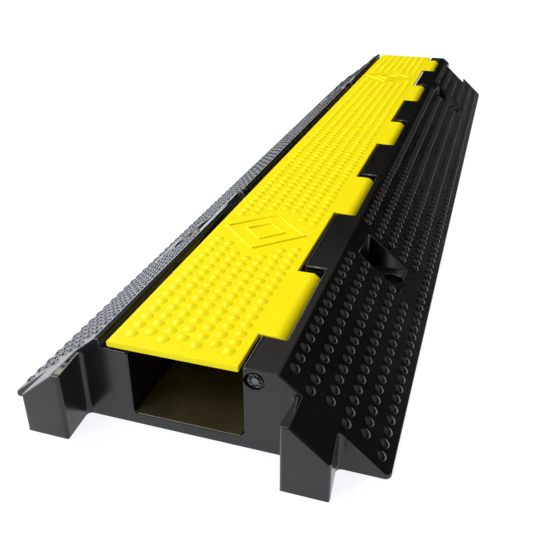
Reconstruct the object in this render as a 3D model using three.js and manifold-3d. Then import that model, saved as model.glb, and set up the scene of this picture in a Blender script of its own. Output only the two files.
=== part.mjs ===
// Floor cord cover: a ramped rubber base with one cable channel, closed by a hinged lid.
// Millimetres, +Z up. Y runs along the channel, the dovetail tabs are at -Y and the hinge is at +X.
// The origin is on the ground, in the middle of the overall length and width.

import * as THREE from 'three';
import { mergeVertices } from 'three/addons/utils/BufferGeometryUtils.js';
import Module from 'manifold-3d';

const wasm = await Module();
wasm.setup();

// Moulded base
const bodyLength = 973; // end face to end face
const baseWidth = 255;
const baseHeight = 60;
const crestHalf = 59; // middle to the top of each ramp
const crestStrip = 5.3; // flat strip between the ramp and the lid recess, on the hinge side
const freeStrip = 3.7; // the same strip beside the lid's free edge
const lipHeight = 2; // upright edge at the foot of each ramp
const cornerRadius = 4; // outer corners, in plan

// Cable channel
const channelWidth = 74;
const channelFloor = 8.6; // thickness of rubber under the cables
const channelFillet = 3.5;
const ledgeBevel = 1; // edge of the ledge that carries the lid

// Lid
const lidThickness = 4;
const lidInset = 0.2; // lid top below the crest
const lidSideGap = 4.8; // between the lid's free edge and the crest
const lidEndGap = 0.5;
const lidEdgeBevel = 0.8;
const seatRib = 1.4; // height of the rib under the lid that rests on the ledge
const seatRibWidth = 6;
const seatRibSetback = 4.5; // free edge to the rib
const seatRibShort = 10; // rib end to lid end
const seatGap = 0.3; // between the closed lid's rib and the ledge

// Hinge
const lidKnuckles = 5;
const slotLength = 104.2; // opening in the base for one lid knuckle
const endSlot = 97.2; // first and last opening
const frontKnuckle = 35.3; // base knuckle at the end with the tabs
const backKnuckle = 19.5; // base knuckle at the end with the sockets
const knuckleGap = 0.8; // lid knuckle to the base knuckle in front of it
const knuckleRoom = 9; // lid knuckle to the base knuckle behind it
const barrelRadius = 8.1;
const barrelGap = 0.5; // barrel to the rubber round it
const openGap = 1.7; // lid edge above the base knuckles when the lid is open
const runGap = 0.3; // lid edge to the rounded side of the base knuckles
const cutGap = 2.4; // lid edge to the channel wall, seen from above
const rodRadius = 2.5;
const boreGap = 0.3;
const rodInset = 0.4; // rod end below the end face
const clipRadius = 5.2;
const clipThickness = 1.2;
const clipInset = 0.5; // clip below the end face
const clipGap = 0.6; // clip to the side of its recess

// Dovetail tabs at -Y, and the sockets for them at +Y
const tabLength = 27;
const tabInner = 70.3; // middle to the inner side of the tab, at its root
const tabWidth = 25.2; // at its root
const tabFlareIn = 2.3;
const tabFlareOut = 2.4;
const tabTop = 47.5;
const tabFillet = 4; // where the tab grows out of the end face
const tabFit = 0.6;

// Fixing pockets in the ramps
const pocketFromEnd = 181.8;
const pocketLength = 39.9;
const pocketSetback = 9.3; // crest to the pocket's back wall
const pocketFloor = 22;
const pocketCorner = 3;
const holeRadius = 9;
const holeFromLowEdge = 10.9;

// Finger notches in the crest beside the lid's free edge
const notchFromEnd = 225;
const notchLength = 40;

// Rhombus ridges on the lid
const rhombusFromEnd = 182;
const rhombusX = -9;
const rhombusHalfX = 35;
const rhombusHalfY = 35.4;
const innerRhombus = 0.5; // inner figure as a share of the outer one
const ridgeWidth = 2.4;
const ridgeHeight = 1.1;

// Places that follow from the sizes
const overallLength = bodyLength + tabLength;
const backFace = overallLength / 2;
const frontFace = backFace - bodyLength;
const crestInner = crestHalf - crestStrip;
const freeInner = crestHalf - freeStrip;
const lidTop = baseHeight - lidInset;
const lidBottom = lidTop - lidThickness;
const ledgeTop = lidBottom - seatRib - seatGap;
const axisX = crestInner - barrelGap - barrelRadius;
const axisZ = lidTop - barrelRadius;
const knuckleRise = baseHeight - axisZ;
const cutEdge = axisX - knuckleRise - openGap;
const roundRadius = Math.hypot(axisX - cutEdge, lidBottom - axisZ) - runGap;
const channelRight = cutEdge + cutGap;
const channelLeft = channelRight - channelWidth;
const lidLeft = lidSideGap - freeInner;
const slotRadius = barrelRadius + barrelGap;
const allSlots = 2 * endSlot + (lidKnuckles - 2) * slotLength;
const baseKnuckle = (bodyLength - frontKnuckle - backKnuckle - allSlots) / (lidKnuckles - 1);
const boreRadius = rodRadius + boreGap;
const rampSlope = (baseHeight - lipHeight) / (baseWidth / 2 - crestHalf);
const rampX = (z) => crestHalf + (baseHeight - z) / rampSlope;

// How the solids are made
const beyond = 5; // how far a cutter runs past the face that it opens
const joinDepth = 1; // how far a joined shape runs into its neighbour
const weldDistance = 1e-4;
const filletFacets = 8; // facets of a quarter or half turn in a section
const cornerFacets = 4; // facets of a quarter turn in plan
const barrelFacets = 24;
const rodFacets = 20;

function solidOf(geometry) {
  const bare = geometry.clone();
  bare.deleteAttribute('normal');
  bare.deleteAttribute('uv');
  const merged = mergeVertices(bare, weldDistance);
  return new wasm.Manifold(new wasm.Mesh({
    numProp: 3,
    vertProperties: new Float32Array(merged.attributes.position.array),
    triVerts: new Uint32Array(merged.index.array),
  }));
}

function meshOf(name, solid, material) {
  const result = solid.getMesh();
  const geometry = new THREE.BufferGeometry();
  geometry.setAttribute('position', new THREE.BufferAttribute(result.vertProperties, 3));
  geometry.setIndex(new THREE.BufferAttribute(result.triVerts, 1));
  geometry.computeVertexNormals();
  const mesh = new THREE.Mesh(geometry, material);
  mesh.name = name;
  return mesh;
}

// A section drawn in X and Z, drawn out along Y.
function alongY(section, startY, endY, curveSegments = filletFacets) {
  const options = { depth: endY - startY, bevelEnabled: false, curveSegments };
  const geometry = new THREE.ExtrudeGeometry(section, options);
  geometry.rotateX(Math.PI / 2);
  geometry.translate(0, endY, 0);
  return solidOf(geometry);
}

// An outline drawn in X and Y, raised along Z.
function alongZ(outline, startZ, endZ, curveSegments = cornerFacets) {
  const options = { depth: endZ - startZ, bevelEnabled: false, curveSegments };
  const geometry = new THREE.ExtrudeGeometry(outline, options);
  geometry.translate(0, 0, startZ);
  return solidOf(geometry);
}

function polygon(points) {
  return new THREE.Shape(points.map(([x, y]) => new THREE.Vector2(x, y)));
}

function box(x0, x1, y0, y1, z0, z1) {
  const geometry = new THREE.BoxGeometry(x1 - x0, y1 - y0, z1 - z0);
  geometry.translate((x0 + x1) / 2, (y0 + y1) / 2, (z0 + z1) / 2);
  return solidOf(geometry);
}

function rodAlongY(radius, startY, endY) {
  const geometry = new THREE.CylinderGeometry(radius, radius, endY - startY, rodFacets);
  geometry.translate(axisX, (startY + endY) / 2, axisZ);
  return solidOf(geometry);
}

function roundedPlan(x0, x1, y0, y1, radius) {
  const outline = new THREE.Shape();
  outline.moveTo(x0 + radius, y0);
  outline.lineTo(x1 - radius, y0);
  outline.absarc(x1 - radius, y0 + radius, radius, -Math.PI / 2, 0);
  outline.lineTo(x1, y1 - radius);
  outline.absarc(x1 - radius, y1 - radius, radius, 0, Math.PI / 2);
  outline.lineTo(x0 + radius, y1);
  outline.absarc(x0 + radius, y1 - radius, radius, Math.PI / 2, Math.PI);
  outline.lineTo(x0, y0 + radius);
  outline.absarc(x0 + radius, y0 + radius, radius, Math.PI, Math.PI * 1.5);
  return outline;
}

// Start and end of each slot for a lid knuckle, along Y.
function slots() {
  let start = frontFace + frontKnuckle;
  return Array.from({ length: lidKnuckles }, (_, i) => {
    const atEnd = i === 0 || i === lidKnuckles - 1;
    const slot = { start, end: start + (atEnd ? endSlot : slotLength) };
    start = slot.end + baseKnuckle;
    return slot;
  });
}

// The same distance from each end face, as the start of a feature of some length.
function fromBothEnds(distance, length) {
  return [frontFace + distance, backFace - distance - length];
}

// Ramped outer section, cut off flat at some height.
function rampSection(top) {
  const foot = baseWidth / 2;
  const topHalf = rampX(top);
  const right = [[foot, 0], [foot, lipHeight], [topHalf, top]];
  const left = right.map(([x, z]) => [-x, z]).reverse();
  return polygon([...right, ...left]);
}

// The channel with the lid recess above it. The hinge side ends in the rounding of the base knuckles.
function channelSection() {
  const above = baseHeight + beyond;
  const filletZ = channelFloor + channelFillet;
  const sideRise = Math.sqrt(roundRadius ** 2 - (axisX - channelRight) ** 2);
  const topRun = Math.sqrt(roundRadius ** 2 - knuckleRise ** 2);
  const sideAngle = Math.atan2(sideRise, channelRight - axisX);
  const topAngle = Math.atan2(knuckleRise, -topRun);
  const section = new THREE.Shape();
  section.moveTo(-freeInner, above);
  section.lineTo(-freeInner, ledgeTop);
  section.lineTo(channelLeft - ledgeBevel, ledgeTop);
  section.lineTo(channelLeft, ledgeTop - ledgeBevel);
  section.lineTo(channelLeft, filletZ);
  section.absarc(channelLeft + channelFillet, filletZ, channelFillet, Math.PI, Math.PI * 1.5);
  section.lineTo(channelRight - channelFillet, channelFloor);
  section.absarc(channelRight - channelFillet, filletZ, channelFillet, -Math.PI / 2, 0);
  section.lineTo(channelRight, axisZ + sideRise);
  section.absarc(axisX, axisZ, roundRadius, sideAngle, topAngle, true);
  section.lineTo(axisX - topRun, above);
  return section;
}

// Room for one barrel of the lid: open to the channel and above, round below on the far side.
function slotSection() {
  const above = baseHeight + beyond;
  const section = new THREE.Shape();
  section.moveTo(channelRight - cutGap, above);
  section.lineTo(channelRight - cutGap, axisZ - slotRadius);
  section.lineTo(axisX, axisZ - slotRadius);
  section.absarc(axisX, axisZ, slotRadius, -Math.PI / 2, 0);
  section.lineTo(crestInner, above);
  return section;
}

// Plan of one dovetail on one side, widest at the far end of the tab and filleted at its root.
function dovetailPlan(side, fit) {
  const root = frontFace + fit + joinDepth;
  const tip = frontFace - tabLength - fit;
  const filletShare = tabFillet / tabLength;
  const filletEnd = frontFace - tabFillet;
  const inner = tabInner - fit;
  const outer = tabInner + tabWidth + fit;
  const plan = new THREE.Shape();
  plan.moveTo(side * (inner - tabFillet), root);
  plan.lineTo(side * (inner - tabFillet), frontFace);
  plan.quadraticCurveTo(side * inner, frontFace, side * (inner - tabFlareIn * filletShare), filletEnd);
  plan.lineTo(side * (inner - tabFlareIn), tip);
  plan.lineTo(side * (outer + tabFlareOut), tip);
  plan.lineTo(side * (outer + tabFlareOut * filletShare), filletEnd);
  plan.quadraticCurveTo(side * outer, frontFace, side * (outer + tabFillet), frontFace);
  plan.lineTo(side * (outer + tabFillet), root);
  return plan;
}

function dovetailTab(side) {
  const ramp = alongY(rampSection(tabTop), frontFace - tabLength - beyond, frontFace + beyond);
  return alongZ(dovetailPlan(side, 0), 0, baseHeight).intersect(ramp);
}

function dovetailSocket(side) {
  return alongZ(dovetailPlan(side, tabFit), -beyond, baseHeight + beyond).translate([0, bodyLength, 0]);
}

// One fixing pocket with its hole: a flat floor cut into the ramp, with a round-cornered back wall.
function fixingPocket(side, startY) {
  const back = crestHalf + pocketSetback;
  const low = rampX(pocketFloor);
  const reach = low + pocketCorner + beyond;
  const x0 = side > 0 ? back : -reach;
  const x1 = side > 0 ? reach : -back;
  const outline = roundedPlan(x0, x1, startY, startY + pocketLength, pocketCorner);
  const pocket = alongZ(outline, pocketFloor, baseHeight + beyond);
  const hole = new THREE.CylinderGeometry(holeRadius, holeRadius, pocketFloor + 2 * beyond, rodFacets);
  hole.rotateX(Math.PI / 2);
  hole.translate(side * (low - holeFromLowEdge), startY + pocketLength / 2, pocketFloor / 2);
  return pocket.add(solidOf(hole));
}

function makeBase() {
  const plan = roundedPlan(-baseWidth / 2, baseWidth / 2, frontFace, backFace, cornerRadius);
  let base = alongY(rampSection(baseHeight), frontFace, backFace).intersect(alongZ(plan, 0, baseHeight));
  base = base.subtract(alongY(channelSection(), frontFace - beyond, backFace + beyond));
  for (const { start, end } of slots()) {
    base = base.subtract(alongY(slotSection(), start, end));
  }
  for (const side of [-1, 1]) {
    base = base.add(dovetailTab(side));
    base = base.subtract(dovetailSocket(side));
    for (const start of fromBothEnds(pocketFromEnd, pocketLength)) {
      base = base.subtract(fixingPocket(side, start));
    }
  }
  for (const start of fromBothEnds(notchFromEnd, notchLength)) {
    const outside = -rampX(ledgeTop) - beyond;
    const inside = -freeInner + joinDepth;
    base = base.subtract(box(outside, inside, start, start + notchLength, ledgeTop, baseHeight + beyond));
  }
  base = base.subtract(rodAlongY(boreRadius, frontFace - beyond, backFace + beyond));
  const recess = clipInset + clipThickness + boreGap;
  base = base.subtract(rodAlongY(clipRadius + clipGap, frontFace - beyond, frontFace + recess));
  return base.subtract(rodAlongY(clipRadius + clipGap, backFace - recess, backFace + beyond));
}

function lidPlateSection() {
  return polygon([
    [lidLeft + lidEdgeBevel, lidBottom],
    [cutEdge, lidBottom],
    [cutEdge, lidTop],
    [lidLeft + lidEdgeBevel, lidTop],
    [lidLeft, lidTop - lidEdgeBevel],
    [lidLeft, lidBottom + lidEdgeBevel],
  ]);
}

// One barrel with the strip of plate that joins it to the lid.
function lidKnuckleSection() {
  const joinRise = lidBottom - axisZ;
  const joinAngle = Math.PI - Math.asin(joinRise / barrelRadius);
  const inside = cutEdge - joinDepth;
  const section = new THREE.Shape();
  section.moveTo(inside, lidBottom);
  section.absarc(axisX, axisZ, barrelRadius, joinAngle, Math.PI * 2.5);
  section.lineTo(inside, lidTop);
  return section;
}

function rhombus(share, inset) {
  const halfX = rhombusHalfX * share - inset;
  const halfY = rhombusHalfY * share - inset;
  return [[halfX, 0], [0, halfY], [-halfX, 0], [0, -halfY]];
}

function rhombusRidge(share, centreY) {
  const outline = polygon(rhombus(share, 0));
  outline.holes.push(new THREE.Path(rhombus(share, ridgeWidth * Math.SQRT2)
    .map(([x, y]) => new THREE.Vector2(x, y))));
  return alongZ(outline, lidTop - joinDepth, lidTop + ridgeHeight).translate([rhombusX, centreY, 0]);
}

function makeLid() {
  const lidFront = frontFace + lidEndGap;
  const lidBack = backFace - lidEndGap;
  let lid = alongY(lidPlateSection(), lidFront, lidBack);
  for (const { start, end } of slots()) {
    lid = lid.add(alongY(lidKnuckleSection(), start + knuckleGap, end - knuckleRoom, barrelFacets));
  }
  const ribLeft = lidLeft + seatRibSetback;
  lid = lid.add(box(ribLeft, ribLeft + seatRibWidth, lidFront + seatRibShort, lidBack - seatRibShort,
    lidBottom - seatRib, lidBottom + joinDepth));
  for (const centre of fromBothEnds(rhombusFromEnd, 0)) {
    lid = lid.add(rhombusRidge(1, centre));
    lid = lid.add(rhombusRidge(innerRhombus, centre));
  }
  return lid.subtract(rodAlongY(boreRadius, frontFace, backFace));
}

function makeRod() {
  return rodAlongY(rodRadius, frontFace + rodInset, backFace - rodInset);
}

// Push-on clip that holds the rod in, a flat ring in its recess.
function makeClip(startY) {
  return rodAlongY(clipRadius, startY, startY + clipThickness)
    .subtract(rodAlongY(boreRadius, startY - beyond, startY + clipThickness + beyond));
}

const rubber = new THREE.MeshStandardMaterial({ color: 0x2a2d2e, roughness: 0.7, metalness: 0 });
const yellowPlastic = new THREE.MeshStandardMaterial({ color: 0xf3e500, roughness: 0.4, metalness: 0 });
const steel = new THREE.MeshStandardMaterial({ color: 0xb9bcc0, roughness: 0.35, metalness: 1 });
const springSteel = new THREE.MeshStandardMaterial({ color: 0xc9ccd0, roughness: 0.3, metalness: 1 });

const coverGroup = new THREE.Group();
coverGroup.add(meshOf('rubber_base', makeBase(), rubber));
coverGroup.add(meshOf('lid', makeLid(), yellowPlastic));
coverGroup.add(meshOf('hinge_rod', makeRod(), steel));
coverGroup.add(meshOf('rod_clip_front', makeClip(frontFace + clipInset), springSteel));
coverGroup.add(meshOf('rod_clip_back', makeClip(backFace - clipInset - clipThickness), springSteel));

export default coverGroup;
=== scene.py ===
# %% [markdown]
# # A floor cord cover
# This cover lies across a floor and carries cables in one channel. It has a black rubber base with two
# ramps, and a yellow lid that turns on a steel rod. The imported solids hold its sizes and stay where
# they are. This lesson gives each piece the rounded edges, studs and finish of the real one.

# %% Load the solids
import math

import bmesh
import bpy
from mathutils import Matrix, Vector


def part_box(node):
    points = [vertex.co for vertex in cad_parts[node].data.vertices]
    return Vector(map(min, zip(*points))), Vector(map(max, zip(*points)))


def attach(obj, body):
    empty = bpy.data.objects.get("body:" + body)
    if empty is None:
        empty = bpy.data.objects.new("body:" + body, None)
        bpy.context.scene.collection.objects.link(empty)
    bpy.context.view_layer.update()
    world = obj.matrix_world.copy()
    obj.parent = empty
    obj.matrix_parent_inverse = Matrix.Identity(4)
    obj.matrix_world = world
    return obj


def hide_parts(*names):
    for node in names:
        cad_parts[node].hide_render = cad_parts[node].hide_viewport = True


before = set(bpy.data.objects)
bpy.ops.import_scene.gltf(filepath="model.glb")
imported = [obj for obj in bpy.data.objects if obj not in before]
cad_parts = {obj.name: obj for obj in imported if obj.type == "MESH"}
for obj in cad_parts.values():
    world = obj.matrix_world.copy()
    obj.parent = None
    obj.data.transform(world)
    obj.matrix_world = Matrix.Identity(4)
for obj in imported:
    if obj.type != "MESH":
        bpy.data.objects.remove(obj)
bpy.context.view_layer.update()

MM = 0.001
base_low, base_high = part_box("rubber_base")
TAB_LENGTH = 27 * MM
front_face = base_low.y + TAB_LENGTH
back_face = base_high.y
middle_y = (front_face + back_face) / 2

# %% [markdown]
# ## Camera
# The camera comes first, because every later choice is judged through it. Its place and angles were
# solved from the photograph's edges. It stands low in front of the right ramp and looks down along the
# cover. Its angles are turned into one matrix: aim to the side, then up or down, then roll.

# %% Make the camera
CAMERA_PLACE = Vector((150.7, -764.5, 288.8)) * MM
CAMERA_TURN = math.radians(17.58)  # to the left of the cover's length
CAMERA_DOWN = math.radians(28.56)
CAMERA_ROLL = math.radians(0.22)
CAMERA_LENS = 43.76
SENSOR_WIDTH = 36

camera_data = bpy.data.cameras.new("photo_camera")
camera_data.sensor_width = SENSOR_WIDTH
camera_data.lens = CAMERA_LENS
camera = bpy.data.objects.new("photo_camera", camera_data)
turn = Matrix.Rotation(CAMERA_TURN, 4, "Z")
tilt = Matrix.Rotation(math.pi / 2 - CAMERA_DOWN, 4, "X")
roll = Matrix.Rotation(CAMERA_ROLL, 4, "Z")
camera.matrix_world = Matrix.Translation(CAMERA_PLACE) @ turn @ tilt @ roll
bpy.context.scene.collection.objects.link(camera)
bpy.context.scene.camera = camera
print("camera at", [round(v, 3) for v in CAMERA_PLACE])

# %% [markdown]
# ## Colours and nodes
# Shaders work with linear light, and colours are easier to choose as sRGB hex values, so one function
# turns one into the other. Another adds a node with its settings and its links. Both the materials
# and the stud patterns are built with it.

# %% Two helpers for node trees
def linear(hex_colour):
    """An sRGB hex colour as linear red, green, blue and alpha."""
    channels = [int(hex_colour[i : i + 2], 16) / 255 for i in (1, 3, 5)]
    return (*[c / 12.92 if c <= 0.04045 else ((c + 0.055) / 1.055) ** 2.4 for c in channels], 1.0)


def add_node(tree, kind, inputs=None, **settings):
    """Adds one node. An input takes a value, or another node's output as a link."""
    node = tree.nodes.new(kind)
    for name, value in settings.items():
        setattr(node, name, value)
    for socket, value in (inputs or {}).items():
        if isinstance(value, bpy.types.NodeSocket):
            tree.links.new(value, node.inputs[socket])
        else:
            node.inputs[socket].default_value = value
    return node


print("helpers ready, black rubber is", [round(c, 4) for c in linear("#1b1d1e")])

# %% [markdown]
# ## Floor and light
# The photograph shows the cover on pure white, and its rubber shows what it mirrors. The floor is a light
# table, so that it stays white and puts a grey sheen on the end faces. The room is dark, which keeps the
# right ramp nearly black. It has a grey ceiling, which the crest and the knuckles mirror, and one long
# low window on the left, which gives each stud of the left ramp a bright rim. A soft box high on the left
# lights the lid, and a smaller one in front draws a thin line along the rounded edges. The camera itself
# looks past the dark walls at a white backdrop, as a product photograph does.

# %% Make the floor
FLOOR_HALF = 6.0
FLOOR_GLOW = 0.92


def new_material(name):
    """An empty material and its tree, with the output node in place."""
    material = bpy.data.materials.new(name)
    material.use_nodes = True
    material.node_tree.nodes.clear()
    output = add_node(material.node_tree, "ShaderNodeOutputMaterial")
    return material, material.node_tree, output


def pale_floor():
    """A light table of milky acrylic. It glows evenly and throws light back at the rubber's end faces."""
    material, tree, output = new_material("milky_acrylic_light_table")
    place = add_node(tree, "ShaderNodeTexCoord")
    mottle = add_node(tree, "ShaderNodeTexNoise", {"Vector": place.outputs["Object"], "Scale": 3.0})
    tone = add_node(tree, "ShaderNodeMix", {"Factor": mottle.outputs["Fac"], "A": linear("#7c7e80"),
                                            "B": linear("#848586")}, data_type="RGBA")
    shader = add_node(tree, "ShaderNodeBsdfPrincipled", {
        "Base Color": tone.outputs["Result"],
        "Roughness": 0.9,
        "IOR": 1.49,
        "Emission Color": linear("#f8faff"),
        "Emission Strength": FLOOR_GLOW,
    })
    tree.links.new(shader.outputs["BSDF"], output.inputs["Surface"])
    return material


floor_mesh = bpy.data.meshes.new("studio_floor")
corners = [(-FLOOR_HALF, -FLOOR_HALF, 0), (FLOOR_HALF, -FLOOR_HALF, 0),
           (FLOOR_HALF, FLOOR_HALF, 0), (-FLOOR_HALF, FLOOR_HALF, 0)]
floor_mesh.from_pydata(corners, [], [(0, 1, 2, 3)])
floor_mesh.materials.append(pale_floor())
floor = bpy.data.objects.new("studio_floor", floor_mesh)
bpy.context.scene.collection.objects.link(floor)
print("floor", 2 * FLOOR_HALF, "m square")

# %% Make the room and the lights
bpy.context.scene.view_settings.view_transform = "Standard"  # keeps the lid's yellow as saturated as it is
CEILING_FROM_Z = 0.4  # a direction's Z is the sine of its height above the horizon, and its X points right
CEILING_FULL_Z = 0.62
CEILING_GLOW = 0.5
WINDOW_FROM_X = -0.42
WINDOW_FULL_X = -0.6
WINDOW_TOP_Z = 0.13
WINDOW_GLOW = 8.0
BACKDROP_GLOW = 1.0


def windowed_room():
    """A dark room with a grey ceiling and a long low window on the left, seen before a white backdrop."""
    world = bpy.data.worlds.new("studio_room")
    world.use_nodes = True
    tree = world.node_tree
    tree.nodes.clear()
    place = add_node(tree, "ShaderNodeTexCoord")
    split = add_node(tree, "ShaderNodeSeparateXYZ", {"Vector": place.outputs["Generated"]})
    ceiling = add_node(tree, "ShaderNodeMapRange", {
        "Value": split.outputs["Z"], "From Min": CEILING_FROM_Z, "From Max": CEILING_FULL_Z,
        "To Max": CEILING_GLOW}, interpolation_type="SMOOTHSTEP")
    across = add_node(tree, "ShaderNodeMapRange", {
        "Value": split.outputs["X"], "From Min": WINDOW_FROM_X, "From Max": WINDOW_FULL_X,
        "To Max": WINDOW_GLOW}, interpolation_type="SMOOTHSTEP")
    below = add_node(tree, "ShaderNodeMath", {
        0: split.outputs["Z"], 1: WINDOW_TOP_Z}, operation="LESS_THAN")
    window = add_node(tree, "ShaderNodeMath", {
        0: across.outputs["Result"], 1: below.outputs[0]}, operation="MULTIPLY")
    ceiling_light = add_node(tree, "ShaderNodeBackground", {
        "Color": linear("#fff6ea"), "Strength": ceiling.outputs["Result"]})
    window_light = add_node(tree, "ShaderNodeBackground", {
        "Color": linear("#d4e4ff"), "Strength": window.outputs[0]})
    both = add_node(tree, "ShaderNodeAddShader", {
        0: ceiling_light.outputs["Background"], 1: window_light.outputs["Background"]})
    backdrop = add_node(tree, "ShaderNodeBackground", {
        "Color": linear("#ffffff"), "Strength": BACKDROP_GLOW})
    path = add_node(tree, "ShaderNodeLightPath")
    seen = add_node(tree, "ShaderNodeMixShader", {
        0: path.outputs["Is Camera Ray"], 1: both.outputs["Shader"], 2: backdrop.outputs["Background"]})
    output = add_node(tree, "ShaderNodeOutputWorld")
    tree.links.new(seen.outputs["Shader"], output.inputs["Surface"])
    bpy.context.scene.world = world


def soft_light(name, place, side, power, hex_colour):
    """A square soft box that faces the middle of the cover."""
    data = bpy.data.lights.new(name, "AREA")
    data.shape = "SQUARE"
    data.size = side
    data.energy = power
    data.color = linear(hex_colour)[:3]
    lamp = bpy.data.objects.new(name, data)
    lamp.location = place
    lamp.rotation_euler = (-Vector(place)).to_track_quat("-Z", "Y").to_euler()
    bpy.context.scene.collection.objects.link(lamp)


windowed_room()
soft_light("key_soft_box", place=(-1.9, 0.3, 2.2), side=1.8, power=70, hex_colour="#fffaf0")
soft_light("front_fill", place=(-1.3, -2.2, 2.6), side=1.2, power=36, hex_colour="#fffaf2")

# %% [markdown]
# ## Rubber
# The base is black SBR rubber, pressed in a steel mould. Pressed rubber has a dull satin skin: a soft broad
# sheen, a fine grain from the mould's blasted surface, and faint cloudy patches where it flowed. Rubber has
# an IOR near 1.52. Its sheen comes from the shader and the lights, and only the grain is bump. A warm grey
# is painted on the channel's level floor, by height and by which way the surface faces. It is partly dust
# that has settled there, and partly painted light that stands in for the yellow glow from the lid's
# underside.

# %% Rubber material
GRAIN = 0.7 * MM  # the mould's grain, drawn a little coarse so that it shows
CLOUD = 60 * MM  # patches left by the flow of the rubber
GLOW_AND_DUST_TOP = 20 * MM  # dust and painted glow lie on level rubber, below this and nearer the middle than the next value
GLOW_AND_DUST_HALF = 38 * MM
LEVEL_FROM = 0.85  # upward part of a level surface's normal
LEVEL_FULL = 0.95
# how much warm grey covers the channel floor: partly dust, partly painted glow from the lid's yellow
# underside
GLOW_AND_DUST_LEAST = 0.14
GLOW_AND_DUST_MOST = 0.34


def pressed_rubber():
    """Black SBR rubber from a steel mould: dark, dull satin, with a fine grain and cloudy patches."""
    material, tree, output = new_material("pressed_sbr_rubber")
    place = add_node(tree, "ShaderNodeTexCoord")
    cloud = add_node(tree, "ShaderNodeTexNoise", {
        "Vector": place.outputs["Object"], "Scale": 1 / CLOUD, "Detail": 4.0, "Roughness": 0.6})
    grain = add_node(tree, "ShaderNodeTexNoise", {
        "Vector": place.outputs["Object"], "Scale": 1 / GRAIN, "Detail": 3.0, "Roughness": 0.55})
    tone = add_node(tree, "ShaderNodeMix", {"Factor": cloud.outputs["Fac"], "A": linear("#07080a"),
                                            "B": linear("#0e0f10")}, data_type="RGBA")
    facing = add_node(tree, "ShaderNodeNewGeometry")
    up = add_node(tree, "ShaderNodeSeparateXYZ", {"Vector": facing.outputs["True Normal"]})
    height = add_node(tree, "ShaderNodeSeparateXYZ", {"Vector": place.outputs["Object"]})
    level = add_node(tree, "ShaderNodeMapRange", {
        "Value": up.outputs["Z"], "From Min": LEVEL_FROM, "From Max": LEVEL_FULL})
    low = add_node(tree, "ShaderNodeMath", {0: height.outputs["Z"], 1: GLOW_AND_DUST_TOP}, operation="LESS_THAN")
    aside = add_node(tree, "ShaderNodeMath", {0: height.outputs["X"]}, operation="ABSOLUTE")
    inside = add_node(tree, "ShaderNodeMath", {0: aside.outputs[0], 1: GLOW_AND_DUST_HALF}, operation="LESS_THAN")
    in_channel = add_node(tree, "ShaderNodeMath", {
        0: low.outputs[0], 1: inside.outputs[0]}, operation="MULTIPLY")
    glow_and_dust_mask = add_node(tree, "ShaderNodeMath", {
        0: level.outputs["Result"], 1: in_channel.outputs[0]}, operation="MULTIPLY")
    patchy = add_node(tree, "ShaderNodeMapRange", {
        "Value": cloud.outputs["Fac"], "From Min": 0.35, "From Max": 0.65,
        "To Min": GLOW_AND_DUST_LEAST, "To Max": GLOW_AND_DUST_MOST})
    glow_and_dust = add_node(tree, "ShaderNodeMath", {
        0: glow_and_dust_mask.outputs[0], 1: patchy.outputs["Result"]}, operation="MULTIPLY")
    # painted light mixed with dust: the warm grey stands in for the lid's yellow glow on the channel floor
    skin = add_node(tree, "ShaderNodeMix", {"Factor": glow_and_dust.outputs[0], "A": tone.outputs["Result"],
                                            "B": linear("#7f7660")}, data_type="RGBA")
    sheen = add_node(tree, "ShaderNodeMapRange", {
        "Value": cloud.outputs["Fac"], "From Min": 0.3, "From Max": 0.7, "To Min": 0.2, "To Max": 0.27})
    bump = add_node(tree, "ShaderNodeBump", {
        "Height": grain.outputs["Fac"], "Strength": 0.25, "Distance": 0.02 * MM})
    shader = add_node(tree, "ShaderNodeBsdfPrincipled", {
        "Base Color": skin.outputs["Result"],
        "Roughness": sheen.outputs["Result"],
        "IOR": 1.52,
        "Normal": bump.outputs["Normal"],
    })
    tree.links.new(shader.outputs["BSDF"], output.inputs["Surface"])
    return material


rubber = pressed_rubber()
print("material", rubber.name)

# %% [markdown]
# ## The base
# On the real cover the base is one moulding, and no edge of it is sharp. The CAD solid has its exact
# shape with sharp edges. A modifier could round every edge alike, but the tabs are rounder than the
# rest and the curves must stay as they are. So a copy is merged, its flat faces are made whole, and each
# sharp outer edge gets a weight that says how far the Bevel modifier rounds it. Inner corners are marked
# sharp, because smooth shading across them would put a false gradient on the flat faces beside them.

# %% Copy a solid and round its edges
WELD = 0.002 * MM
FLAT = math.radians(0.5)
SHARP = math.radians(35)
ROUND_STEPS = 3
FLAT_PULL = 80  # how strongly the large flat faces set the shading of the rounding beside them


def whole_faces(node):
    """A CAD node's skin as a bmesh, merged, with each flat face in one piece."""
    skin = bmesh.new()
    skin.from_mesh(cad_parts[node].data)
    bmesh.ops.remove_doubles(skin, verts=skin.verts, dist=WELD)
    bmesh.ops.dissolve_limit(skin, angle_limit=FLAT, verts=skin.verts, edges=skin.edges)
    return skin


def new_piece(name, skin, *materials):
    """A bmesh as a smooth-shaded object at the origin."""
    mesh = bpy.data.meshes.new(name)
    skin.to_mesh(mesh)
    skin.free()
    mesh.shade_smooth()
    for material in materials:
        mesh.materials.append(material)
    piece = bpy.data.objects.new(name, mesh)
    bpy.context.scene.collection.objects.link(piece)
    return piece


def make_plain(piece):
    """Puts the result of the piece's modifiers into its own mesh."""
    graph = bpy.context.evaluated_depsgraph_get()
    result = bpy.data.meshes.new_from_object(piece.evaluated_get(graph), preserve_all_data_layers=True,
                                             depsgraph=graph)
    result.name = piece.name
    piece.modifiers.clear()
    piece.data = result
    print(piece.name, len(result.polygons), "faces")
    return piece


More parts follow.
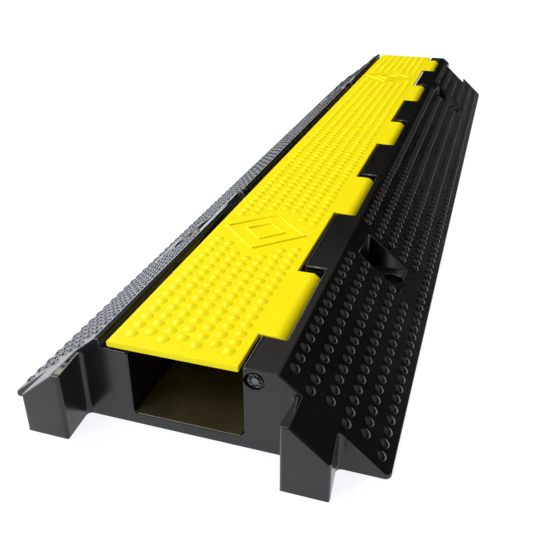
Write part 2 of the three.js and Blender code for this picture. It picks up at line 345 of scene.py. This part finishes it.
def rounded(name, skin, widest, width_at, soft_above, *materials):
    """Rounds each sharp outer edge by its width_at. Inner corners stay crisp, but not above soft_above."""
    weights = skin.edges.layers.float.new("bevel_weight_edge")
    for edge in skin.edges:
        if edge.calc_face_angle(0) < SHARP:
            continue
        if edge.is_convex:
            edge[weights] = width_at(edge) / widest
        elif min(v.co.z for v in edge.verts) < soft_above:
            edge.smooth = False
    piece = new_piece(name, skin, *materials)
    bevel = piece.modifiers.new("rounding", "BEVEL")
    bevel.limit_method = "WEIGHT"
    bevel.width = widest
    bevel.segments = ROUND_STEPS
    bevel.use_clamp_overlap = False
    normals = piece.modifiers.new("flat_faces_stay_flat", "WEIGHTED_NORMAL")
    normals.mode = "FACE_AREA"
    normals.weight = FLAT_PULL
    normals.keep_sharp = True
    return make_plain(piece)


print("faces in the solids:", {name: len(node.data.polygons) for name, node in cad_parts.items()})

# %% Round the base
SOFT_ROUND = 1.4 * MM  # knuckles, pocket rims and the end edges of the ramps
TAB_ROUND = 2.6 * MM  # the upright edges at the tips of the tabs
TAB_UPRIGHT = 5 * MM  # a tab's upright edges are longer than this
EDGE_ROUND = 0.8 * MM
LIP_ROUND = 0.6 * MM
TAB_SIDE_ROUND = 0.3 * MM  # small, because the top of a tab runs out to a point at its root
LIP_TOP = 2.1 * MM  # the foot of the ramps and the ground edges lie below this
TAB_INNER = 71 * MM  # the fillet at a tab's root lies between the crest and this
CHANNEL_HALF = 40 * MM
CREST_HALF = 59 * MM
KNUCKLE_LOW = 55 * MM  # the knuckles' top edges lie above this, and to the right of KNUCKLE_LEFT
KNUCKLE_LEFT = 36 * MM


def base_edge_width(edge):
    """How far an outer edge of the base is rounded, by where it lies."""
    ends = [v.co for v in edge.verts]
    if max(p.z for p in ends) < LIP_TOP:
        return LIP_ROUND
    far_out = max(abs(p.x) for p in ends)
    if max(p.y for p in ends) < base_low.y + WELD:
        upright = abs(ends[0].z - ends[1].z) > TAB_UPRIGHT and abs(ends[0].x - ends[1].x) < WELD
        return TAB_ROUND if upright else SOFT_ROUND
    if min(p.y for p in ends) < front_face - WELD:
        return TAB_SIDE_ROUND
    if max(p.y for p in ends) < front_face + WELD and CREST_HALF + WELD < far_out < TAB_INNER:
        return TAB_SIDE_ROUND
    if max(p.y for p in ends) < front_face + WELD and far_out < CHANNEL_HALF:
        return SOFT_ROUND
    on_knuckle = min(p.z for p in ends) > KNUCKLE_LOW and min(p.x for p in ends) > KNUCKLE_LEFT
    on_ramp = min(abs(p.x) for p in ends) > CREST_HALF - WELD
    slopes = abs(ends[0].z - ends[1].z) > WELD and abs(ends[0].x - ends[1].x) > WELD
    if on_knuckle or on_ramp and slopes:
        return SOFT_ROUND
    return EDGE_ROUND


base_skin = whole_faces("rubber_base")
base = rounded("rubber_moulding", base_skin, TAB_ROUND, base_edge_width, base_high.z, rubber)
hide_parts("rubber_base")
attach(base, "base")

# %% [markdown]
# ## Studs on the ramps
# Each ramp has six columns of low round buttons, every second column half a step on. The mould leaves
# them out in a square round each pocket, and where the notches and sockets are. Their domes lean a little
# towards the upright, because the mould opens upwards. One button is turned from a short profile. A
# Geometry Nodes tree then sets it out: it counts out the points of a staggered grid on the ramp, shoots
# rays down at the base, and keeps a point only where the rays land on the ramp all round the button.

# %% Turn one button
def turned(name, profile, facets, material):
    """A small closed solid turned about Z, from a profile of radius and height that starts at its foot."""
    skin = bmesh.new()
    rings = []
    for radius, height in profile[:-1]:
        angles = [2 * math.pi * i / facets for i in range(facets)]
        rings.append([skin.verts.new((radius * math.cos(a), radius * math.sin(a), height)) for a in angles])
    top = skin.verts.new((0, 0, profile[-1][1]))
    for low, high in zip(rings, rings[1:]):
        for i in range(facets):
            skin.faces.new((low[i], low[i - facets + 1], high[i - facets + 1], high[i]))
    for i in range(facets):
        skin.faces.new((rings[-1][i], rings[-1][i - facets + 1], top))
    skin.faces.new(reversed(rings[0]))
    bmesh.ops.recalc_face_normals(skin, faces=skin.faces)
    return new_piece(name, skin, material)


def button_profile(radius, height, rim, sink, rings=3):
    """The cap of a ball on a rounded rim, which goes down into what carries it."""
    inner = radius - rim
    ball = (inner ** 2 + height ** 2) / (2 * height)
    runs = [inner * (1 - i / rings) for i in range(rings)]
    dome = [(run, rim + math.sqrt(ball ** 2 - run ** 2) - ball + height) for run in runs]
    return [(radius, -sink), (radius, 0), *dome, (0, rim + height)]


RAMP_BUTTON_RADIUS = 4.0 * MM
RAMP_BUTTON_HEIGHT = 1.35 * MM
RAMP_BUTTON_RIM = 0.15 * MM
RAMP_BUTTON_SINK = 1.2 * MM
RAMP_BUTTON_LEAN = math.radians(9)  # towards the upright, the way the mould opens
BUTTON_FACETS = 12
ramp_profile = button_profile(RAMP_BUTTON_RADIUS, RAMP_BUTTON_HEIGHT, RAMP_BUTTON_RIM, RAMP_BUTTON_SINK)
ramp_button = turned("ramp_button", ramp_profile, BUTTON_FACETS, rubber)
print("button faces:", len(ramp_button.data.polygons))

# %% Name the inputs of the tree
STUD_SOCKETS = [
    ("Button", "NodeSocketObject"), ("Ground", "NodeSocketObject"), ("Material", "NodeSocketMaterial"),
    ("Columns", "NodeSocketInt"), ("Rows", "NodeSocketInt"),
    ("Column Step", "NodeSocketFloat"), ("Row Step", "NodeSocketFloat"), ("Stagger", "NodeSocketFloat"),
    ("First X", "NodeSocketFloat"), ("First Y", "NodeSocketFloat"),
    ("Top Z", "NodeSocketFloat"), ("Fall", "NodeSocketFloat"),
    ("Reach", "NodeSocketFloat"), ("Tilt", "NodeSocketFloat"),
    ("Clear X", "NodeSocketFloat"), ("Clear Y", "NodeSocketFloat"), ("Clear Middle", "NodeSocketFloat"),
    ("Clear Half X", "NodeSocketFloat"), ("Clear Half Y", "NodeSocketFloat"), ("Clear Box", "NodeSocketBool"),
]


def tree_with_inputs(name, sockets):
    """A Geometry Nodes tree that takes the named inputs and gives one geometry."""
    tree = bpy.data.node_groups.new(name, "GeometryNodeTree")
    for label, kind in sockets:
        tree.interface.new_socket(label, in_out="INPUT", socket_type=kind)
    tree.interface.new_socket("Geometry", in_out="OUTPUT", socket_type="NodeSocketGeometry")
    given = add_node(tree, "NodeGroupInput").outputs
    return tree, {label: given[label] for label, kind in sockets}


print("inputs of the stud tree:", len(STUD_SOCKETS))

# %% [markdown]
# The tree's sums are easier to read as a table than as node after node. Each line of it becomes one Math
# node: its name, its operation and the two values it takes, which are inputs, earlier lines or numbers.
# The first lines give the place of each point in the grid. The last ones give its distance from the
# middle of a clearing, as a share of the clearing's half size. That share is the larger of the two
# directions for a box, and their sum for a rhombus.

# %% Write the sums as a table
STUD_SUMS = [
    ("count", "MULTIPLY", "Columns", "Rows"),
    ("column", "MODULO", "index", "Columns"),
    ("rows passed", "DIVIDE", "index", "Columns"),
    ("row", "FLOOR", "rows passed", 0.0),
    ("run", "MULTIPLY", "column", "Column Step"),
    ("x", "ADD", "First X", "run"),
    ("odd column", "MODULO", "column", 2.0),
    ("shift", "MULTIPLY", "odd column", "Stagger"),
    ("along", "MULTIPLY", "row", "Row Step"),
    ("row y", "ADD", "First Y", "along"),
    ("y", "ADD", "row y", "shift"),
    ("drop", "MULTIPLY", "run", "Fall"),
    ("z", "SUBTRACT", "Top Z", "drop"),
    ("reach drop", "MULTIPLY", "Reach", "Fall"),
    ("reach z", "MULTIPLY", "reach drop", -1.0),
    ("from clear x", "SUBTRACT", "spot x", "Clear X"),
    ("off x", "ABSOLUTE", "from clear x", 0.0),
    ("from middle", "SUBTRACT", "spot y", "Clear Middle"),
    ("to either end", "ABSOLUTE", "from middle", 0.0),
    ("from clear y", "SUBTRACT", "to either end", "Clear Y"),
    ("off y", "ABSOLUTE", "from clear y", 0.0),
    ("share x", "DIVIDE", "off x", "Clear Half X"),
    ("share y", "DIVIDE", "off y", "Clear Half Y"),
    ("rhombus share", "ADD", "share x", "share y"),
    ("box share", "MAXIMUM", "share x", "share y"),
]
RAY_RISE = 30 * MM
LANDING = 0.12 * MM  # how far a ray's landing may lie from the ideal surface
RAY_SIDES = [(0, 0), (1, 0), (-1, 0), (0, 1), (0, -1)]  # the middle of a button and four points round it
print("sums:", len(STUD_SUMS), "rays for each button:", len(RAY_SIDES))

# %% Build the tree
def stud_tree():
    """Sets a button on each point of a grid, where all its rays land and it is outside the clearing."""
    tree, known = tree_with_inputs("staggered_studs", STUD_SOCKETS)
    spot = add_node(tree, "GeometryNodeInputPosition").outputs[0]
    split = add_node(tree, "ShaderNodeSeparateXYZ", {0: spot})
    known["spot x"] = split.outputs["X"]
    known["spot y"] = split.outputs["Y"]
    known["index"] = add_node(tree, "GeometryNodeInputIndex").outputs[0]
    for label, operation, a, b in STUD_SUMS:
        terms = {0: known.get(a, a), 1: known.get(b, b)}
        known[label] = add_node(tree, "ShaderNodeMath", terms, operation=operation).outputs[0]
    place = add_node(tree, "ShaderNodeCombineXYZ", {"X": known["x"], "Y": known["y"], "Z": known["z"]})
    points = add_node(tree, "GeometryNodePoints", {"Count": known["count"], "Position": place.outputs[0]})

    share = add_node(tree, "GeometryNodeSwitch", {
        "Switch": known["Clear Box"], "False": known["rhombus share"],
        "True": known["box share"]}, input_type="FLOAT")
    kept = add_node(tree, "ShaderNodeMath", {0: share.outputs[0], 1: 1.0}, operation="GREATER_THAN")
    ground = add_node(tree, "GeometryNodeObjectInfo", {"Object": known["Ground"]})
    reach = add_node(tree, "ShaderNodeCombineXYZ", {
        "X": known["Reach"], "Y": known["Reach"], "Z": known["reach z"]})
    for side_x, side_y in RAY_SIDES:
        aside = add_node(tree, "ShaderNodeVectorMath", {
            0: reach.outputs[0], 1: (side_x, side_y, side_x)}, operation="MULTIPLY")
        foot = add_node(tree, "ShaderNodeVectorMath", {0: spot, 1: aside.outputs[0]}, operation="ADD")
        above = add_node(tree, "ShaderNodeVectorMath", {
            0: foot.outputs[0], 1: (0, 0, RAY_RISE)}, operation="ADD")
        ray = add_node(tree, "GeometryNodeRaycast", {
            "Target Geometry": ground.outputs["Geometry"], "Source Position": above.outputs[0],
            "Ray Direction": (0, 0, -1), "Ray Length": 2 * RAY_RISE})
        miss = add_node(tree, "ShaderNodeVectorMath", {
            0: ray.outputs["Hit Position"], 1: foot.outputs[0]}, operation="DISTANCE")
        lands = add_node(tree, "ShaderNodeMath", {
            0: miss.outputs["Value"], 1: LANDING}, operation="LESS_THAN")
        kept = add_node(tree, "ShaderNodeMath", {
            0: kept.outputs[0], 1: lands.outputs[0]}, operation="MULTIPLY")

    button = add_node(tree, "GeometryNodeObjectInfo", {"Object": known["Button"]})
    turn = add_node(tree, "ShaderNodeCombineXYZ", {"Y": known["Tilt"]})
    placed = add_node(tree, "GeometryNodeInstanceOnPoints", {
        "Points": points.outputs[0], "Selection": kept.outputs[0],
        "Instance": button.outputs["Geometry"], "Rotation": turn.outputs[0]})
    real = add_node(tree, "GeometryNodeRealizeInstances", {"Geometry": placed.outputs[0]})
    coloured = add_node(tree, "GeometryNodeSetMaterial", {
        "Geometry": real.outputs[0], "Material": known["Material"]})
    add_node(tree, "NodeGroupOutput", {0: coloured.outputs[0]})
    return tree


studs_on_a_grid = stud_tree()
print("stud tree has", len(studs_on_a_grid.nodes), "nodes")

# %% Studs on both ramps
LIP_HEIGHT = 2 * MM
ramp_fall = (base_high.z - LIP_HEIGHT) / (base_high.x - CREST_HALF)
RAMP_COLUMNS = 6
RAMP_FIRST_X = 64.4 * MM
RAMP_STEP = 11.04 * MM
RAMP_FIRST_Y = 15.5 * MM
RAMP_ROWS = 88
POCKET_FROM_END = 201.75 * MM  # to its middle
POCKET_X = 85 * MM
POCKET_CLEAR = 25 * MM  # half the side of the square without studs
RAMP_RAY_SHARE = 0.8  # of the button's radius, from its middle to its outer rays


def studs(name, **values):
    """A piece made by the stud tree from its named inputs."""
    piece = new_piece(name, bmesh.new(), values["Material"])
    modifier = piece.modifiers.new("studs", "NODES")
    modifier.node_group = studs_on_a_grid
    for item in studs_on_a_grid.interface.items_tree:
        if item.in_out == "INPUT":
            modifier[item.identifier] = values[item.name.replace(" ", "_")]
    return make_plain(piece)


for label, side in (("right", 1), ("left", -1)):
    piece = studs(
        f"ramp_studs_{label}", Button=ramp_button, Ground=base, Material=rubber,
        Columns=RAMP_COLUMNS, Rows=RAMP_ROWS, Column_Step=side * RAMP_STEP, Row_Step=RAMP_STEP,
        Stagger=-RAMP_STEP / 2, First_X=side * RAMP_FIRST_X, First_Y=front_face + RAMP_FIRST_Y,
        Top_Z=base_high.z - (RAMP_FIRST_X - CREST_HALF) * ramp_fall, Fall=side * ramp_fall,
        Reach=RAMP_BUTTON_RADIUS * RAMP_RAY_SHARE, Tilt=side * (math.atan(ramp_fall) - RAMP_BUTTON_LEAN),
        Clear_X=side * POCKET_X, Clear_Y=(back_face - front_face) / 2 - POCKET_FROM_END,
        Clear_Middle=middle_y, Clear_Half_X=POCKET_CLEAR, Clear_Half_Y=POCKET_CLEAR, Clear_Box=True)
    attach(piece, "base")
bpy.data.objects.remove(ramp_button)

# %% [markdown]
# ## Plastic for the lid
# The lid is injection-moulded PVC in a full lemon yellow. The pigment goes all the way through, so light
# enters the edges a little and comes out warmer. The mould has a fine matt finish, which gives a clean
# satin sheen. PVC has an IOR near 1.53. The studs are too small for light to wander through them, so they
# get the same plastic without it.

# %% Plastic material
FLOW = 90 * MM  # slow changes of tone along the flow of the melt
PLASTIC_GRAIN = 0.9 * MM  # the mould's matt finish, drawn coarse so that it shows
LIGHT_DEPTH = 2.5 * MM  # how far light enters the plate


def moulded_pvc(name, depth):
    """Yellow PVC from a matt mould: full colour, a satin sheen, and light that enters to the depth."""
    material, tree, output = new_material(name)
    place = add_node(tree, "ShaderNodeTexCoord")
    flow = add_node(tree, "ShaderNodeTexNoise", {
        "Vector": place.outputs["Object"], "Scale": 1 / FLOW, "Detail": 3.0, "Roughness": 0.5})
    grain = add_node(tree, "ShaderNodeTexNoise", {
        "Vector": place.outputs["Object"], "Scale": 1 / PLASTIC_GRAIN, "Detail": 2.0, "Roughness": 0.5})
    tone = add_node(tree, "ShaderNodeMix", {"Factor": flow.outputs["Fac"], "A": linear("#f2e300"),
                                            "B": linear("#f6ea00")}, data_type="RGBA")
    bump = add_node(tree, "ShaderNodeBump", {
        "Height": grain.outputs["Fac"], "Strength": 0.2, "Distance": 0.04 * MM})
    shader = add_node(tree, "ShaderNodeBsdfPrincipled", {
        "Base Color": tone.outputs["Result"],
        "Roughness": 0.42,
        "IOR": 1.53,
        "Specular IOR Level": 0.15,
        "Subsurface Weight": 0.5 if depth else 0.0,
        "Subsurface Radius": (1.0, 0.55, 0.04),
        "Subsurface Scale": depth,
        "Normal": bump.outputs["Normal"],
    })
    tree.links.new(shader.outputs["BSDF"], output.inputs["Surface"])
    return material


pvc = moulded_pvc("moulded_yellow_pvc", LIGHT_DEPTH)
pvc_relief = moulded_pvc("moulded_yellow_pvc_relief", 0.0)
print("materials", pvc.name, pvc_relief.name)

# %% [markdown]
# ## The lid
# The lid is one moulding too: a plate with five barrels along its hinge side and two raised rhombuses. It
# is copied from its solid and rounded like the base. Its chamfers meet its faces at 45 degrees, so they
# get a smaller width.

# %% Round the lid
LID_ROUND = 0.7 * MM
RIDGE_ROUND = 1.0 * MM
CHAMFER_ROUND = 0.3 * MM
CHAMFER_ANGLE = math.radians(50)
RIDGE_HEIGHT = 1.1 * MM
lid_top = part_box("lid")[1].z - RIDGE_HEIGHT


def lid_edge_width(edge):
    """How far an outer edge of the lid is rounded."""
    if edge.calc_face_angle(0) < CHAMFER_ANGLE:
        return CHAMFER_ROUND
    if min(v.co.z for v in edge.verts) > lid_top + WELD:
        return RIDGE_ROUND
    return LID_ROUND


lid = rounded("lid_moulding", whole_faces("lid"), RIDGE_ROUND, lid_edge_width, lid_top - WELD, pvc)
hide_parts("lid")
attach(lid, "lid")

# %% [markdown]
# ## Studs on the lid
# The lid's studs are smaller domes in seven columns. They stop in a rhombus round each raised figure,
# so here the same tree gets a clearing: the studs inside it are left out, at both ends alike.

# %% Studs on the lid
LID_BUTTON_RADIUS = 3.9 * MM
LID_BUTTON_HEIGHT = 0.95 * MM
LID_BUTTON_SINK = 0.3 * MM
LID_COLUMNS = 7
LID_FIRST_X = 24.6 * MM
LID_COLUMN_STEP = -10.65 * MM
LID_ROW_STEP = 10.22 * MM
LID_FIRST_Y = 12.9 * MM
LID_STAGGER = 5.1 * MM
LID_ROWS = 94
LID_RAY_SHARE = 0.7
CLEARING_FROM_END = 181.7 * MM
CLEARING_HALF_X = 55 * MM
CLEARING_HALF_Y = 48 * MM


def soft_profile(radius, height, sink, rings=5):
    """A dome that runs out softly at its foot."""
    runs = [radius * (1 - i / rings) for i in range(rings)]
    dome = [(run, height * (1 + math.cos(math.pi * run / radius)) / 2) for run in runs]
    return [(radius, -sink), *dome, (0, height)]


lid_profile = soft_profile(LID_BUTTON_RADIUS, LID_BUTTON_HEIGHT, LID_BUTTON_SINK)
lid_button = turned("lid_button", lid_profile, BUTTON_FACETS, pvc_relief)
middle_x = LID_FIRST_X + (LID_COLUMNS - 1) / 2 * LID_COLUMN_STEP
lid_studs = studs(
    "lid_studs", Button=lid_button, Ground=lid, Material=pvc_relief,
    Columns=LID_COLUMNS, Rows=LID_ROWS, Column_Step=LID_COLUMN_STEP, Row_Step=LID_ROW_STEP,
    Stagger=LID_STAGGER, First_X=LID_FIRST_X, First_Y=front_face + LID_FIRST_Y,
    Top_Z=lid_top, Fall=0.0, Reach=LID_BUTTON_RADIUS * LID_RAY_SHARE, Tilt=0.0,
    Clear_X=middle_x, Clear_Y=(back_face - front_face) / 2 - CLEARING_FROM_END,
    Clear_Middle=middle_y, Clear_Half_X=CLEARING_HALF_X, Clear_Half_Y=CLEARING_HALF_Y, Clear_Box=False)
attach(lid_studs, "lid")
bpy.data.objects.remove(lid_button)

# %% [markdown]
# ## The rod and its clips
# The rod is cold-drawn mild steel, dulled by use, with fine straight lines along its length. Each end is
# held by a push-on clip, stamped from spring steel and blackened. Its teeth are bent outward and bite
# the rod, so it is thin, dished and toothed. Both are turned from short lists of radius and place.

# %% Steel materials
DRAW_LINE = 0.3 * MM  # spacing of the drawing lines, drawn coarse so that they show
LINE_STRETCH = 0.01  # the pattern is squeezed along the bar by this
OXIDE_PATCH = 1.2 * MM


def drawn_steel():
    """Cold-drawn mild steel: grey and smooth, with fine lines along the bar."""
    material, tree, output = new_material("cold_drawn_mild_steel")
    place = add_node(tree, "ShaderNodeTexCoord")
    stretched = add_node(tree, "ShaderNodeVectorMath", {
        0: place.outputs["Object"], 1: (1.0, LINE_STRETCH, 1.0)}, operation="MULTIPLY")
    lines = add_node(tree, "ShaderNodeTexNoise", {
        "Vector": stretched.outputs[0], "Scale": 1 / DRAW_LINE, "Detail": 3.0, "Roughness": 0.6})
    wear = add_node(tree, "ShaderNodeMapRange", {
        "Value": lines.outputs["Fac"], "To Min": 0.18, "To Max": 0.34})
    bump = add_node(tree, "ShaderNodeBump", {
        "Height": lines.outputs["Fac"], "Strength": 0.4, "Distance": 0.02 * MM})
    shader = add_node(tree, "ShaderNodeBsdfPrincipled", {
        "Base Color": linear("#666a6c"),
        "Metallic": 1.0,
        "Roughness": wear.outputs["Result"],
        "Normal": bump.outputs["Normal"],
    })
    tree.links.new(shader.outputs["BSDF"], output.inputs["Surface"])
    return material


def blackened_spring_steel():
    """Spring steel with a black oxide skin, worn to bare grey metal in small patches."""
    material, tree, output = new_material("blackened_spring_steel")
    place = add_node(tree, "ShaderNodeTexCoord")
    cloud = add_node(tree, "ShaderNodeTexNoise", {
        "Vector": place.outputs["Object"], "Scale": 1 / OXIDE_PATCH, "Detail": 4.0, "Roughness": 0.6})
    worn = add_node(tree, "ShaderNodeMapRange", {
        "Value": cloud.outputs["Fac"], "From Min": 0.52, "From Max": 0.66})
    tone = add_node(tree, "ShaderNodeMix", {"Factor": worn.outputs["Result"], "A": linear("#303436"),
                                            "B": linear("#8a8e90")}, data_type="RGBA")
    sheen = add_node(tree, "ShaderNodeMapRange", {
        "Value": cloud.outputs["Fac"], "To Min": 0.25, "To Max": 0.5})
    shader = add_node(tree, "ShaderNodeBsdfPrincipled", {
        "Base Color": tone.outputs["Result"],
        "Metallic": 1.0,
        "Roughness": sheen.outputs["Result"],
    })
    tree.links.new(shader.outputs["BSDF"], output.inputs["Surface"])
    return material


steel = drawn_steel()
oxide = blackened_spring_steel()
print("materials", steel.name, oxide.name)

# %% Turn the rod
rod_low, rod_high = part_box("hinge_rod")
AXIS_X = (rod_low.x + rod_high.x) / 2
AXIS_Z = (rod_low.z + rod_high.z) / 2
ROD_RADIUS = 2.5 * MM
ROD_CHAMFER = 0.4 * MM
ROD_FACETS = 32


def ring_at(skin, radius, y, facets):
    """A ring of points round the hinge's axis."""
    angles = [2 * math.pi * i / facets for i in range(facets)]
    return [skin.verts.new((AXIS_X + radius * math.cos(a), y, AXIS_Z + radius * math.sin(a)))
            for a in angles]


def bridge(skin, low, high):
    """A band of faces between two rings."""
    for i in range(len(low)):
        skin.faces.new((low[i], low[i - len(low) + 1], high[i - len(low) + 1], high[i]))


def make_rod():
    """A round bar with a small chamfer at each end."""
    skin = bmesh.new()
    stations = [
        (ROD_RADIUS - ROD_CHAMFER, rod_low.y), (ROD_RADIUS, rod_low.y + ROD_CHAMFER),
        (ROD_RADIUS, rod_high.y - ROD_CHAMFER), (ROD_RADIUS - ROD_CHAMFER, rod_high.y)]
    rings = [ring_at(skin, radius, y, ROD_FACETS) for radius, y in stations]
    for low, high in zip(rings, rings[1:]):
        bridge(skin, low, high)
    skin.faces.new(rings[0])
    skin.faces.new(rings[-1])
    bmesh.ops.recalc_face_normals(skin, faces=skin.faces)
    piece = new_piece("drawn_rod", skin, steel)
    normals = piece.modifiers.new("flat_ends", "WEIGHTED_NORMAL")
    normals.mode = "FACE_AREA"
    return make_plain(piece)


rod = make_rod()
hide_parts("hinge_rod")
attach(rod, "base")

# %% Stamp the clips
CLIP_TEETH = 8
STEPS_PER_TOOTH = 6
CLIP_STEEL = 0.4 * MM
CLIP_ROUND = 0.08 * MM
CLIP_ROUND_STEPS = 2
CLIP_RADIUS = 4.7 * MM
TOOTH_ROOT = 3.5 * MM
TOOTH_TIP = ROD_RADIUS + 0.05 * MM
TOOTH_RISE = 0.75 * MM  # how far the tips stand outward of the rim
TOOTH_BEND = 0.4  # share of that rise at the middle of a tooth
TOOTH_GAP = 2  # steps left open between two teeth


def make_clip(name, seat_y, outward):
    """A dished washer: a flat rim, a curled edge and teeth that lean outward to the rod."""
    skin = bmesh.new()
    steps = CLIP_TEETH * STEPS_PER_TOOTH
    stations = [
        (CLIP_RADIUS, seat_y + outward * CLIP_STEEL),
        (CLIP_RADIUS - CLIP_STEEL, seat_y),
        (TOOTH_ROOT, seat_y),
        ((TOOTH_ROOT + TOOTH_TIP) / 2, seat_y + outward * TOOTH_RISE * TOOTH_BEND),
        (TOOTH_TIP, seat_y + outward * TOOTH_RISE)]
    rings = [ring_at(skin, radius, y, steps) for radius, y in stations]
    for low, high in zip(rings[:2], rings[1:3]):
        bridge(skin, low, high)
    for low, high in zip(rings[2:], rings[3:]):
        for i in range(steps):
            if i % STEPS_PER_TOOTH < STEPS_PER_TOOTH - TOOTH_GAP:
                skin.faces.new((low[i], low[i - steps + 1], high[i - steps + 1], high[i]))
    bmesh.ops.delete(skin, geom=[v for v in skin.verts if not v.link_faces], context="VERTS")
    bmesh.ops.recalc_face_normals(skin, faces=skin.faces)
    piece = new_piece(name, skin, oxide)
    sheet = piece.modifiers.new("sheet_steel", "SOLIDIFY")
    sheet.thickness = CLIP_STEEL
    sheet.offset = 0.0
    edge = piece.modifiers.new("stamped_edge", "BEVEL")
    edge.width = CLIP_ROUND
    edge.segments = CLIP_ROUND_STEPS
    edge.angle_limit = SHARP
    normals = piece.modifiers.new("flat_rim", "WEIGHTED_NORMAL")
    normals.mode = "FACE_AREA"
    return make_plain(piece)


for label, outward in (("front", -1), ("back", 1)):
    clip_low, clip_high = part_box(f"rod_clip_{label}")
    seat_y = (clip_high.y if outward < 0 else clip_low.y) + outward * CLIP_STEEL
    clip = make_clip(f"toothed_clip_{label}", seat_y, outward)
    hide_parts(f"rod_clip_{label}")
    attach(clip, "base")
